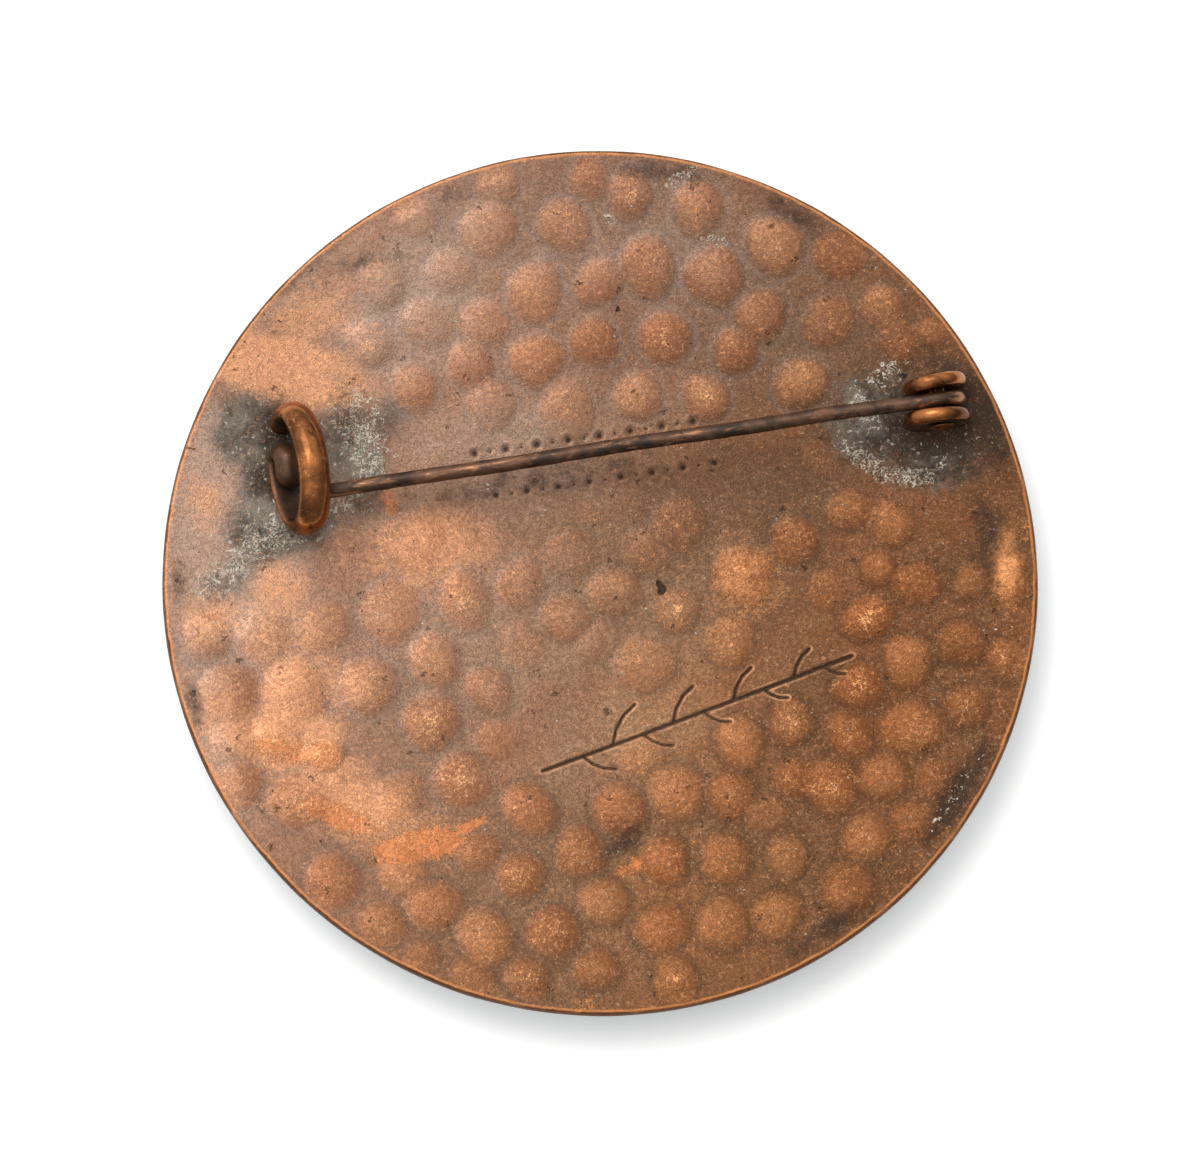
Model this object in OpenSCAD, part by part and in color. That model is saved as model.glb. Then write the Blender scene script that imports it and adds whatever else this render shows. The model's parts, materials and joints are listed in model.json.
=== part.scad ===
// Round domed brooch seen from the back: a hammered copper plate with an enamelled front,
// a scroll catch and a pair of hinge ears soldered to the back, a rivet and a wire pin.
// Millimetres. +Z points out of the back, X runs along the pin with the hinge at +X, and the
// origin is under the middle of the plate, at the lowest point of the enamel.

/* [Plate] */
// Diameter of the copper plate
plate_d = 53; // [48:0.5:56]
// Thickness of the copper
plate_t = 1; // [0.9:0.05:1.2]
// Radius of the hollow back, which sets how deep the dome is
dome_r = 141; // [110:1:200]
// Radius that crowns the plate's rim
rim_crown_r = 0.75; // [0.65:0.05:1]

/* [Hammered bosses] */
// Height of a full boss over the back
boss_h = 0.3; // [0.1:0.01:0.4]
// Gap between the feet of two bosses that stand close
foot_gap = 0.08; // [0.05:0.01:0.2]

/* [Enamel] */
// Thickness of the enamel on the front
enamel_t = 0.4; // [0.3:0.05:0.8]
// Bare copper left round the enamel
enamel_inset = 0.6; // [0.3:0.1:1.5]

/* [Hinge] */
// Distance of the rivet from the plate's middle, along the pin
hinge_x = 21.8; // [20:0.1:22.5]
// Offset of the pin's line from the plate's middle
pin_y = 7.6; // [6:0.1:9]
// Radius of each round ear
ear_r = 2.1; // [1.9:0.05:2.3]
// Thickness of each ear
ear_t = 0.8; // [0.6:0.05:1]
// Clear space between the two ears
ear_space = 1.3; // [1.2:0.05:1.6]
// Height of the rivet's axis over the back
rivet_h = 1.8; // [1.75:0.05:2]
// Angle that each ear is splayed by
ear_splay = 3; // [0:0.5:4]
// Radius of the rivet's shank
rivet_r = 0.5; // [0.45:0.01:0.52]
// Radius of the rivet's peened heads
rivet_head_r = 0.85; // [0.7:0.05:1]
// Thickness of a peened head
rivet_head_t = 0.28; // [0.2:0.02:0.4]

/* [Pin] */
// Radius of the pin's wire
wire_r = 0.45; // [0.4:0.01:0.48]
// Radial clearance of the pin's curl on the rivet
curl_clear = 0.06; // [0.03:0.01:0.09]
// Place of the pin's point along X
point_x = -18.6; // [-19:0.1:-18]
// Length of the tapered point
point_len = 3.2; // [2.5:0.1:5]
// Radius left at the very point
point_r = 0.1; // [0.05:0.01:0.15]
// Height of the pin's axis over the back, at its point
point_h = 1.65; // [1.6:0.05:2]

/* [Catch] */
// Place of the catch's base along X
catch_x = -18.2; // [-19:0.1:-17.5]
// Place of the catch's middle along Y
catch_y = 9.1; // [8.9:0.05:9.3]
// Angle that the catch leans towards the hinge
catch_lean = 25; // [20:1:28]
// Half the width of the half-round wire, which is also its thickness
band_r = 0.95; // [0.85:0.01:1]
// Half the length of the hook along the middle of its wire
hook_half_len = 3.63; // [3.5:0.01:3.8]
// Half the height of the hook along the middle of its wire
hook_half_rise = 2.38; // [2.3:0.01:2.5]
// Radius of the hook's round ends
hook_end_r = 1.75; // [1.7:0.01:1.8]
// Radius of the tight curl inside the hook
curl_in_r = 0.75; // [0.7:0.01:0.8]
// How far the hook's base is bedded in the plate
catch_bed = 0.15; // [0.1:0.01:0.2]

/* [Hidden] */
$fn = 64;
fine_fn = 1800;
rim_fn = 240;
plate_r = plate_d/2;
// Gap that keeps two pieces apart where they lie against each other
seat_gap = 0.02;
// The dome's centre, over the middle of the plate
dome_z = enamel_t + plate_t + dome_r;
// Depth of a boss's root inside the copper, and its width past the boss's foot
root_d = 0.5;
root_flare = 0.2;
// How far the boss chart, which stands as the photograph does, is turned against the pin
chart_turn = -8.7;
// Flat left between the crowned rim and the circle that the bosses' feet keep inside
rim_flat = 0.1;
field_r = plate_r - rim_crown_r - rim_flat;
// Share of its width that a boss keeps where the rim cuts it short
rim_share = 0.84;

function back_z(x, y) = dome_z - sqrt(dome_r*dome_r - x*x - y*y);

rivet_z = back_z(hinge_x, pin_y) + rivet_h;
curl_r = rivet_r + curl_clear + wire_r;
point_z = back_z(point_x, pin_y) + point_h;
point_dist = hinge_x - point_x;
// The angle that the straight wire falls by from the curl's crown to its point
pin_dip = asin((rivet_z + curl_r - point_z)/point_dist);
pin_len = point_dist/cos(pin_dip);
// Where the wire's cut end lies on its turn round the rivet
curl_end = -175;
ear_y = (ear_space + ear_t)/2;
ear_crown_r = 0.55;

// The hook is an oval of four arcs: two round ends and two flat arcs that meet them smoothly
hook_side = hook_half_len - hook_end_r;
hook_rest = hook_half_rise - hook_end_r;
hook_drop = (hook_side*hook_side - hook_rest*hook_rest)/(2*hook_rest);
flat_arc_r = hook_drop + hook_half_rise;
flat_arc_turn = atan(hook_side/hook_drop);
// How far the wire's flat side lies inside the middle of its thickness
flat_in = band_r/2;
hook_mid_v = flat_in + hook_half_rise - catch_bed;
tip_turn = -20;
curl_start = 9.9;
curl_u = (flat_arc_r - curl_in_r)*sin(curl_start);
curl_v = hook_mid_v + hook_drop - (flat_arc_r - curl_in_r)*cos(curl_start);
strand_r = 5;
strand_turn = 8;
strand_v = curl_v + curl_in_r - strand_r;
// The wire's loss of radius at each slim step, and the angle by which a stretch beds in the last
slim_step = 0.015;
lap = 1.5;

// Bosses raised by the hammer, charted by eye as the photograph stands:
// [across, up, width, share of the full height]
BOSSES = [
    [-6.8, 21.6, 3.4, 0.8], [-9.2, 19.0, 2.9, 0.7], [-4.0, 17.8, 3.5, 0.9], [-13.2, 18.3, 2.9, 0.8],
    [-10.6, 15.9, 3.2, 0.7], [-7.0, 15.9, 3.0, 0.7], [-14.0, 14.6, 2.8, 0.8], [-3.8, 13.7, 3.2, 0.9],
    [-0.4, 14.8, 3.0, 0.8], [-7.9, 13.4, 2.9, 0.8], [-11.3, 11.9, 3.0, 0.8], [-6.6, 11.0, 2.9, 0.7],
    [-2.0, 10.6, 3.6, 0.7], [0.0, 18.5, 2.9, 0.8], [-2.2, 21.8, 3.3, 0.8], [-6.3, 24.3, 2.7, 0.7],
    [-0.7, 24.6, 2.7, 0.7], [-11.3, 22.3, 2.7, 0.6], [1.8, 23.8, 3.0, 0.8], [6.0, 22.9, 3.3, 1.0],
    [2.9, 19.4, 3.5, 1.0], [7.0, 18.8, 3.5, 1.0], [10.7, 20.6, 3.4, 1.0], [14.6, 20.1, 3.0, 0.8],
    [9.8, 16.3, 3.2, 1.0], [14.0, 16.0, 3.2, 0.8], [17.2, 16.7, 2.7, 0.7], [4.0, 15.1, 3.2, 1.0],
    [8.2, 14.3, 2.7, 1.0], [18.1, 14.8, 2.7, 0.7], [20.2, 15.3, 1.8, 0.6], [12.3, 12.3, 3.2, 1.0],
    [6.5, 11.5, 2.9, 0.9], [2.3, 11.5, 2.9, 0.8], [13.4, 7.7, 2.4, 0.4],
    [15.1, 4.5, 2.7, 0.8], [17.6, 3.7, 2.7, 0.8], [11.8, 2.7, 3.0, 0.9], [4.8, 3.7, 3.3, 0.6],
    [2.9, 2.0, 2.9, 0.5], [8.7, 0.5, 3.7, 1.0], [16.9, 0.9, 2.3, 0.9], [19.2, -0.1, 2.8, 0.8],
    [22.4, 0.0, 2.2, 0.7], [24.7, -0.2, 2.4, 0.6], [13.7, -0.5, 2.4, 0.4], [-11.3, 2.7, 3.7, 0.6],
    [-1.8, 1.8, 3.0, 0.4], [-4.8, 0.0, 3.0, 0.7], [0.8, -0.5, 3.2, 0.8], [-12.6, -1.8, 3.7, 0.8],
    [-8.2, -1.2, 3.4, 0.9], [-2.0, -2.1, 2.9, 0.8], [4.8, -1.5, 2.8, 0.8], [16.2, -2.2, 2.9, 0.9],
    [-4.8, -3.7, 3.0, 0.4], [-0.2, -3.5, 2.7, 0.4], [7.9, -3.5, 3.0, 0.7], [-23.8, -3.5, 3.0, 0.9],
    [-20.4, -3.5, 3.3, 0.7], [-16.7, -2.7, 3.2, 0.6],
    [-10.0, -4.8, 3.3, 0.9], [-13.9, -6.4, 3.4, 0.8], [-6.7, -6.5, 3.0, 0.8], [-10.2, -8.5, 3.5, 0.9],
    [-6.2, -9.5, 2.7, 0.4], [2.7, -4.8, 3.5, 0.7], [18.7, -4.8, 3.0, 0.9], [21.7, -3.8, 2.8, 0.8],
    [24.5, -4.8, 2.6, 0.7], [15.6, -6.4, 2.9, 0.9], [11.5, -8.4, 2.9, 0.9], [22.1, -7.7, 2.7, 0.7],
    [18.7, -9.0, 3.5, 0.9], [15.0, -9.3, 3.0, 0.8], [8.4, -9.7, 3.0, 1.0], [2.6, -10.6, 2.9, 0.7],
    [-22.5, -7.1, 3.7, 0.9], [-18.5, -6.8, 4.0, 0.9], [-22.1, -9.9, 3.0, 0.8], [-19.6, -9.7, 3.0, 0.8],
    [-16.5, -10.6, 2.2, 0.8], [-21.8, -12.6, 3.0, 0.8], [-18.3, -13.5, 3.4, 0.7], [-8.4, -12.1, 3.4, 0.8],
    [-11.9, -13.0, 3.0, 0.6], [-4.3, -13.8, 3.3, 1.0], [1.1, -13.9, 3.2, 1.0], [4.6, -12.8, 3.4, 1.0],
    [7.9, -13.0, 2.8, 1.0], [11.7, -12.1, 2.7, 0.8], [13.9, -12.6, 3.3, 0.9], [17.0, -11.9, 2.9, 0.9],
    [20.3, -12.1, 2.6, 0.5], [9.9, -14.1, 2.6, 0.5], [19.0, -14.6, 2.6, 0.6], [15.9, -15.7, 3.0, 0.8],
    [-1.3, -16.5, 3.2, 0.9], [-4.8, -17.9, 2.9, 1.0], [-7.3, -16.5, 2.7, 0.8], [-11.9, -18.0, 2.8, 0.8],
    [-16.2, -18.3, 3.4, 0.9], [-9.9, -19.8, 3.3, 1.0], [-13.2, -21.0, 2.7, 0.7], [-6.9, -21.7, 3.4, 1.0],
    [-2.9, -21.3, 3.2, 1.0], [0.2, -19.5, 2.9, 0.9], [3.8, -17.0, 2.9, 1.0], [7.5, -16.8, 3.0, 0.9],
    [11.3, -16.8, 2.6, 0.7], [14.8, -18.8, 3.4, 0.8], [3.7, -21.2, 3.0, 0.9], [7.3, -20.9, 3.2, 0.8],
    [10.6, -20.3, 2.9, 0.8], [-0.4, -23.7, 2.7, 0.9], [4.4, -24.3, 2.9, 0.8], [-10.8, -23.0, 2.1, 0.6],
    [-7.8, -24.2, 2.7, 0.7], [-4.4, -24.3, 2.7, 0.8],
];

// A boss's middle on the plate: its charted place, turned against the pin and drawn in from the rim
function boss_spot(b) =
    let(
        reach = min(norm([b[0], b[1]]), field_r - rim_share*b[2]/2),
        turn = atan2(b[1], b[0]) + chart_turn
    )
    [reach*cos(turn), reach*sin(turn)];

SPOTS = [for (b = BOSSES) boss_spot(b)];

// The room that boss i has beside its neighbours, each of which takes its share of the space between
function boss_room(i) =
    min([
        for (j = [0:len(BOSSES) - 1])
            if (j != i) norm(SPOTS[j] - SPOTS[i])*BOSSES[i][2]/(BOSSES[i][2] + BOSSES[j][2])
    ]) - foot_gap/2;

// Puts its children on the back at x, y, with their Z along the back's own normal there
module on_back(x, y) {
    translate([x, y, back_z(x, y)])
        rotate([asin(y/dome_r), -asin(x/dome_r), 0])
            children();
}

// One boss: a ball's cap on a root inside the copper. The ball's poles lie level, which leaves
// its cap one plain face
module boss(foot, height) {
    ball_r = (foot*foot + height*height)/(2*height);
    intersection() {
        translate([0, 0, height - ball_r])
            rotate([0, 90, 0])
                sphere(r = ball_r, $fn = 96);
        translate([0, 0, -root_d])
            cylinder(h = root_d + 2*height, r = foot + root_flare, $fn = 12);
    }
}

// The domed sheet: the space between two balls of one centre, with a crowned rim
module domed_sheet(inner_r, outer_r, edge_r, crown_r) {
    edge_z = dome_z - sqrt(pow((inner_r + outer_r)/2, 2) - edge_r*edge_r);
    rotate_extrude($fn = rim_fn)
        intersection() {
            difference() {
                translate([0, dome_z])
                    circle(r = outer_r, $fn = fine_fn);
                translate([0, dome_z])
                    circle(r = inner_r, $fn = fine_fn);
            }
            union() {
                square([edge_r - crown_r, dome_z]);
                translate([edge_r - crown_r, edge_z])
                    circle(r = crown_r, $fn = 96);
            }
        }
}

module hammered_plate() {
    domed_sheet(dome_r, dome_r + plate_t, plate_r, rim_crown_r);
    for (i = [0:len(BOSSES) - 1]) {
        half = BOSSES[i][2]/2;
        foot = min(half, field_r - norm(SPOTS[i]), boss_room(i));
        on_back(SPOTS[i][0], SPOTS[i][1])
            boss(foot, boss_h*BOSSES[i][3]*foot/half);
    }
}

// The half-round section of the catch's wire, with its flat side at x. The wire is drawn a
// little thinner from stretch to stretch (slim steps), so that each end beds in the last one
module half_round(x, slim) {
    step = slim*slim_step;
    translate([x + step/2, 0])
        intersection() {
            circle(r = band_r - step);
            translate([0, -band_r])
                square([band_r, 2*band_r]);
        }
}

// An arc of the catch's wire round u, v in the hook's own plane
module hook_arc(u, v, r, from, to, slim) {
    translate([u, v, 0])
        rotate([0, 0, from])
            rotate_extrude(angle = to - from, $fn = 120)
                half_round(r - flat_in, slim);
}

// A rounded end of the wire: a quarter of a ball, past the arc's end (side 1) or start (side -1)
module hook_tip(u, v, r, at, side, slim) {
    ball_r = band_r - slim*slim_step;
    translate([u, v, 0])
        rotate([0, 0, at])
            translate([r - flat_in + slim*slim_step/2, 0, 0])
                intersection() {
                    translate([0, -side*slim_step, 0])
                        sphere(r = ball_r);
                    translate([0, side > 0 ? -slim_step : -ball_r, -ball_r])
                        cube([ball_r, ball_r + slim_step, 2*ball_r]);
                }
}

// The scroll catch, bent from one length of half-round wire: a tip, an arch, a base and a curl
module scroll_catch() {
    top = 90 - flat_arc_turn;
    translate([catch_x, catch_y, back_z(catch_x, catch_y)])
        rotate([0, catch_lean, 0])
            rotate([90, 0, 90]) {
                hook_tip(hook_side, hook_mid_v, hook_end_r, tip_turn, -1, 2);
                hook_arc(hook_side, hook_mid_v, hook_end_r, tip_turn, top + lap, 1);
                hook_arc(0, hook_mid_v - hook_drop, flat_arc_r, top, 180 - top, 0);
                hook_arc(-hook_side, hook_mid_v, hook_end_r, 180 - top - lap, 180 + top, 1);
                hook_arc(0, hook_mid_v + hook_drop, flat_arc_r, 180 + top - lap, 270 + curl_start, 2);
                hook_arc(curl_u, curl_v, curl_in_r, curl_start - 90 - lap, 90, 3);
                hook_arc(curl_u, strand_v, strand_r, 90 - lap, 90 + strand_turn, 4);
                hook_tip(curl_u, strand_v, strand_r, 90 + strand_turn, 1, 5);
            }
}

// One hinge ear: a crowned disc on its edge, with its lower part bedded in the plate
module ear(side) {
    translate([hinge_x, pin_y + side*ear_y, rivet_z])
        rotate([90, 0, side*ear_splay])
            rotate_extrude($fn = 96)
                intersection() {
                    translate([0, -ear_t/2])
                        square([ear_r, ear_t]);
                    union() {
                        translate([0, -ear_t/2])
                            square([ear_r - ear_crown_r, ear_t]);
                        translate([ear_r - ear_crown_r, 0])
                            circle(r = ear_crown_r);
                    }
                }
}

module hinge_ears() {
    difference() {
        union() {
            ear(1);
            ear(-1);
        }
        translate([hinge_x, pin_y, rivet_z])
            rotate([90, 0, 0])
                cylinder(h = 4*ear_y, r = rivet_r + seat_gap, center = true);
    }
}

// The plate with the catch and the ears soldered on, which makes them one solid
module back_plate() {
    color("peru") {
        hammered_plate();
        scroll_catch();
        hinge_ears();
    }
}

module enamel_face() {
    color("teal")
        domed_sheet(dome_r + plate_t + seat_gap, dome_r + plate_t + enamel_t,
            plate_r - enamel_inset, rim_crown_r);
}

// The rivet through both ears, with a crowned head peened on each end
module hinge_rivet() {
    head_y = ear_space/2 + ear_t + rivet_head_r*sin(ear_splay) + 2*seat_gap;
    crown_r = (rivet_head_r*rivet_head_r + rivet_head_t*rivet_head_t)/(2*rivet_head_t);
    color("saddlebrown")
        translate([hinge_x, pin_y, rivet_z])
            rotate([90, 0, 0])
                rotate_extrude() {
                    translate([0, -head_y - rivet_head_t/2])
                        square([rivet_r, 2*head_y + rivet_head_t]);
                    for (side = [0, 1])
                        mirror([0, side])
                            translate([0, head_y])
                                intersection() {
                                    translate([0, rivet_head_t - crown_r])
                                        circle(r = crown_r, $fn = 180);
                                    square([rivet_head_r, rivet_head_t]);
                                }
                }
}

// The pin: straight wire with a long point, curled most of the way round the rivet
module pin() {
    color("sienna")
        translate([hinge_x, pin_y, rivet_z])
            rotate([0, -pin_dip, 0]) {
                rotate([90, 0, 0])
                    rotate([0, 0, curl_end])
                        rotate_extrude(angle = 90 + lap - curl_end, $fn = 96)
                            translate([curl_r, 0])
                                circle(r = wire_r - slim_step);
                translate([0, 0, curl_r])
                    rotate([0, -90, 0])
                        rotate_extrude()
                            polygon([[0, 0], [wire_r, 0], [wire_r, pin_len - point_len],
                                [point_r, pin_len], [0, pin_len]]);
            }
}

back_plate();
enamel_face();
hinge_rivet();
pin();
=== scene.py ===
"""A round domed brooch that lies on its enamelled front and shows its hammered copper back.

Metres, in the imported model's frame: +Z points out of the back, X runs along the pin with the hinge
at +X, and the origin is under the middle of the plate. Charts stand as the photograph does, in
millimetres from the plate's middle, and from_chart turns them against the pin.
"""
import json
import math

import bpy
import numpy as np
from mathutils import Matrix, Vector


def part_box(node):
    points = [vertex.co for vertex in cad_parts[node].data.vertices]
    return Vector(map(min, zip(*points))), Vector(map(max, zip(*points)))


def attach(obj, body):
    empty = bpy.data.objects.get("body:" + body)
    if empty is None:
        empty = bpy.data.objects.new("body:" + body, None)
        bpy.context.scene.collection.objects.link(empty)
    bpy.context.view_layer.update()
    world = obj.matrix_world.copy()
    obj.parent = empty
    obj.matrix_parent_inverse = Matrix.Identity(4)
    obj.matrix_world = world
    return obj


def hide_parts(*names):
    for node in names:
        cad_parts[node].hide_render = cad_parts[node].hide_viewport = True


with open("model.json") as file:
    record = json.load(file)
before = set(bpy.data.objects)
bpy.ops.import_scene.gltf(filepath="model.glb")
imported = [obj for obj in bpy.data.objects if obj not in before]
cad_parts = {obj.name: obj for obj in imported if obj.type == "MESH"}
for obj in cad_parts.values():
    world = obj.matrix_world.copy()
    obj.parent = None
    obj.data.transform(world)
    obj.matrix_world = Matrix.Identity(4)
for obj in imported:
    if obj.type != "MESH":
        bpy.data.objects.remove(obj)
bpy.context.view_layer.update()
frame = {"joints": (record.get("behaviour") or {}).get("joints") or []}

MM = 0.001

# Plate and enamel, with the same round sizes as the solids
PLATE_T = 1.0*MM
DOME_R = 141.0*MM
ENAMEL_T = 0.4*MM
ENAMEL_INSET = 0.6*MM
SEAT_GAP = 0.02*MM
RIM_CROWN_R = 0.75*MM
DOME_Z = ENAMEL_T + PLATE_T + DOME_R
PLATE_R = (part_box("back_plate")[1].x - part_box("back_plate")[0].x)/2
BOSS_H = 0.3*MM
BOSS_OVAL = 0.05
# Where the relief starts to fade towards the rim and where it has gone, and where the back's grid
# ends, each as a depth inside the rim
RIM_FADE = [1.6*MM, 0.45*MM]
RIM_FLAT = 0.3*MM
CHART_TURN = math.radians(-8.7)

# Hinge and pin. In the two tables by side, 1 is the far ear and -1 the near one
RIVET = np.array(frame["joints"][0]["pos_m"])
EAR_R = {1: 2.0*MM, -1: 2.12*MM}
EAR_OFFSET = {1: -0.1*MM, -1: -0.3*MM}
HINGE_SHIFT = -0.12*MM
EAR_T = 0.8*MM
EAR_SPACE = 1.3*MM
EAR_SPLAY = math.radians(3)
EAR_CROWN_R = 0.55*MM
RIVET_R = 0.5*MM
RIVET_HEAD_R = 0.85*MM
RIVET_HEAD_T = 0.28*MM
WIRE_R = 0.45*MM
CURL_R = 1.01*MM
PIN_DIP = math.radians(2.30)
PIN_LEN = 39.1*MM
POINT_LEN = 1.5*MM
POINT_R = 0.1*MM
CURL_END = math.radians(-175)
EYE_STRETCH = 0.15

# Scroll catch: its place, its lean, and the arcs of its wire in the hook's own plane
CATCH_X = -18.2*MM
CATCH_Y = 9.1*MM
CATCH_LEAN = math.radians(25)
BAND_R = 0.95*MM
BAND_SPREAD = 1.1
TIP_STEPS = 8
# [centre across, centre up, radius, from degrees, to degrees], in millimetres
HOOK_ARCS = [
    [1.88, 2.705, 1.75, -33.0, 52.95],
    [0.0, 0.215, 4.87, 52.95, 127.05],
    [-1.88, 2.705, 1.75, 127.05, 232.95],
    [0.0, 5.195, 4.87, 232.95, 279.9],
    [0.708, 1.136, 0.75, 279.9, 450.0],
    [0.708, -3.114, 5.0, 450.0, 458.0],
]

# Bosses raised by the hammer: [across, up, width, share of the full height]
BOSSES = [
    [-6.8, 21.6, 3.4, 0.8], [-9.2, 19.0, 2.9, 0.7], [-4.0, 17.8, 3.5, 0.9], [-13.2, 18.3, 2.9, 0.8],
    [-10.6, 15.9, 3.2, 0.7], [-7.0, 15.9, 3.0, 0.7], [-14.0, 14.6, 2.8, 0.8], [-3.8, 13.7, 3.2, 0.9],
    [-0.4, 14.8, 3.0, 0.8], [-7.9, 13.4, 2.9, 0.8], [-11.3, 11.9, 3.0, 0.8], [-6.6, 11.0, 2.9, 0.7],
    [-2.0, 10.6, 3.6, 0.7], [0.0, 18.5, 2.9, 0.8], [-2.2, 21.8, 3.3, 0.8], [-6.3, 24.3, 2.7, 0.7],
    [-0.7, 24.6, 2.7, 0.7], [-11.3, 22.3, 2.7, 0.6], [1.8, 23.8, 3.0, 0.8], [6.0, 22.9, 3.3, 1.0],
    [2.9, 19.4, 3.5, 1.0], [7.0, 18.8, 3.5, 1.0], [10.7, 20.6, 3.4, 1.0], [14.6, 20.1, 3.0, 0.8],
    [9.8, 16.3, 3.2, 1.0], [14.0, 16.0, 3.2, 0.8], [17.2, 16.7, 2.7, 0.7], [4.0, 15.1, 3.2, 1.0],
    [8.2, 14.3, 2.7, 1.0], [18.1, 14.8, 2.7, 0.7], [20.2, 15.3, 1.8, 0.6], [12.3, 12.3, 3.2, 1.0],
    [6.5, 11.5, 2.9, 0.9], [2.3, 11.5, 2.9, 0.8], [13.4, 7.7, 2.4, 0.4],
    [15.1, 4.5, 2.7, 0.8], [17.6, 3.7, 2.7, 0.8], [11.8, 2.7, 3.0, 0.9], [4.8, 3.7, 3.3, 0.6],
    [2.9, 2.0, 2.9, 0.5], [8.7, 0.5, 3.7, 1.0], [16.9, 0.9, 2.3, 0.9], [19.2, -0.1, 2.8, 0.8],
    [22.4, 0.0, 2.2, 0.7], [24.7, -0.2, 2.4, 0.6], [13.7, -0.5, 2.4, 0.4], [-11.3, 2.7, 3.7, 0.6],
    [-1.8, 1.8, 3.0, 0.4], [-4.8, 0.0, 3.0, 0.7], [0.8, -0.5, 3.2, 0.8], [-12.6, -1.8, 3.7, 0.8],
    [-8.2, -1.2, 3.4, 0.9], [-2.0, -2.1, 2.9, 0.8], [4.8, -1.5, 2.8, 0.8], [16.2, -2.2, 2.9, 0.9],
    [-4.8, -3.7, 3.0, 0.4], [-0.2, -3.5, 2.7, 0.4], [7.9, -3.5, 3.0, 0.7], [-23.8, -3.5, 3.0, 0.9],
    [-20.4, -3.5, 3.3, 0.7], [-16.7, -2.7, 3.2, 0.6],
    [-10.0, -4.8, 3.3, 0.9], [-13.9, -6.4, 3.4, 0.8], [-6.7, -6.5, 3.0, 0.8], [-10.2, -8.5, 3.5, 0.9],
    [-6.2, -9.5, 2.7, 0.4], [2.7, -4.8, 3.5, 0.7], [18.7, -4.8, 3.0, 0.9], [21.7, -3.8, 2.8, 0.8],
    [24.5, -4.8, 2.6, 0.7], [15.6, -6.4, 2.9, 0.9], [11.5, -8.4, 2.9, 0.9], [22.1, -7.7, 2.7, 0.7],
    [18.7, -9.0, 3.5, 0.9], [15.0, -9.3, 3.0, 0.8], [8.4, -9.7, 3.0, 1.0], [2.6, -10.6, 2.9, 0.7],
    [-22.5, -7.1, 3.7, 0.9], [-18.5, -6.8, 4.0, 0.9], [-22.1, -9.9, 3.0, 0.8], [-19.6, -9.7, 3.0, 0.8],
    [-16.5, -10.6, 2.2, 0.8], [-21.8, -12.6, 3.0, 0.8], [-18.3, -13.5, 3.4, 0.7], [-8.4, -12.1, 3.4, 0.8],
    [-11.9, -13.0, 3.0, 0.6], [-4.3, -13.8, 3.3, 1.0], [1.1, -13.9, 3.2, 1.0], [4.6, -12.8, 3.4, 1.0],
    [7.9, -13.0, 2.8, 1.0], [11.7, -12.1, 2.7, 0.8], [13.9, -12.6, 3.3, 0.9], [17.0, -11.9, 2.9, 0.9],
    [20.3, -12.1, 2.6, 0.5], [9.9, -14.1, 2.6, 0.5], [19.0, -14.6, 2.6, 0.6], [15.9, -15.7, 3.0, 0.8],
    [-1.3, -16.5, 3.2, 0.9], [-4.8, -17.9, 2.9, 1.0], [-7.3, -16.5, 2.7, 0.8], [-11.9, -18.0, 2.8, 0.8],
    [-16.2, -18.3, 3.4, 0.9], [-9.9, -19.8, 3.3, 1.0], [-13.2, -21.0, 2.7, 0.7], [-6.9, -21.7, 3.4, 1.0],
    [-2.9, -21.3, 3.2, 1.0], [0.2, -19.5, 2.9, 0.9], [3.8, -17.0, 2.9, 1.0], [7.5, -16.8, 3.0, 0.9],
    [11.3, -16.8, 2.6, 0.7], [14.8, -18.8, 3.4, 0.8], [3.7, -21.2, 3.0, 0.9], [7.3, -20.9, 3.2, 0.8],
    [10.6, -20.3, 2.9, 0.8], [-0.4, -23.7, 2.7, 0.9], [4.4, -24.3, 2.9, 0.8], [-10.8, -23.0, 2.1, 0.6],
    [-7.8, -24.2, 2.7, 0.7], [-4.4, -24.3, 2.7, 0.8],
]

# Stains on the back: [across, up, half width, half height, turn in degrees, strength]
BRIGHT_COPPER = [
    [-18.9, 12.7, 3.7, 1.6, -12, 1.8], [-17.6, 16.4, 3.2, 2.2, 20, 0.6],
    [-20.0, -3.4, 2.4, 2.8, 0, 0.5], [-19.4, -0.2, 1.6, 1.8, 0, 0.8],
    [-22.6, -8.2, 2.4, 2.6, 0, 0.5], [-19.0, -9.4, 3.2, 2.0, 0, 1.0],
    [-18.0, -6.0, 3.2, 2.6, 0, 0.6], [-15.0, -13.4, 4.4, 2.2, -28, 0.8],
    [-11.0, 2.2, 4.4, 2.4, 10, 0.6], [-24.0, 4.6, 1.4, 2.4, 8, 0.5],
    [-23.4, -2.4, 1.8, 1.6, 0, 0.8], [9.0, 0.4, 2.2, 2.2, 0, 0.5],
    [3.0, 19.6, 1.1, 1.0, 0, 0.4], [7.0, 18.9, 1.1, 1.0, 0, 0.35],
    [-24.0, -12.0, 1.5, 3.0, 25, 0.6], [24.6, 0.6, 0.7, 2.2, 0, 0.8],
]
FLAKES = [
    [-15.6, -14.5, 2.4, 0.8, -20, 1.2], [-11.2, -16.2, 2.5, 0.85, 8, 1.3],
    [-7.9, -14.9, 1.1, 0.3, 25, 1.0], [-16.5, -10.7, 1.1, 0.75, 0, 1.1],
    [-19.3, -10.4, 1.9, 0.7, -12, 1.0], [-12.8, 5.0, 0.3, 0.6, 20, 1.0],
    [2.0, -17.3, 0.9, 0.6, 40, 0.8],
]
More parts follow.
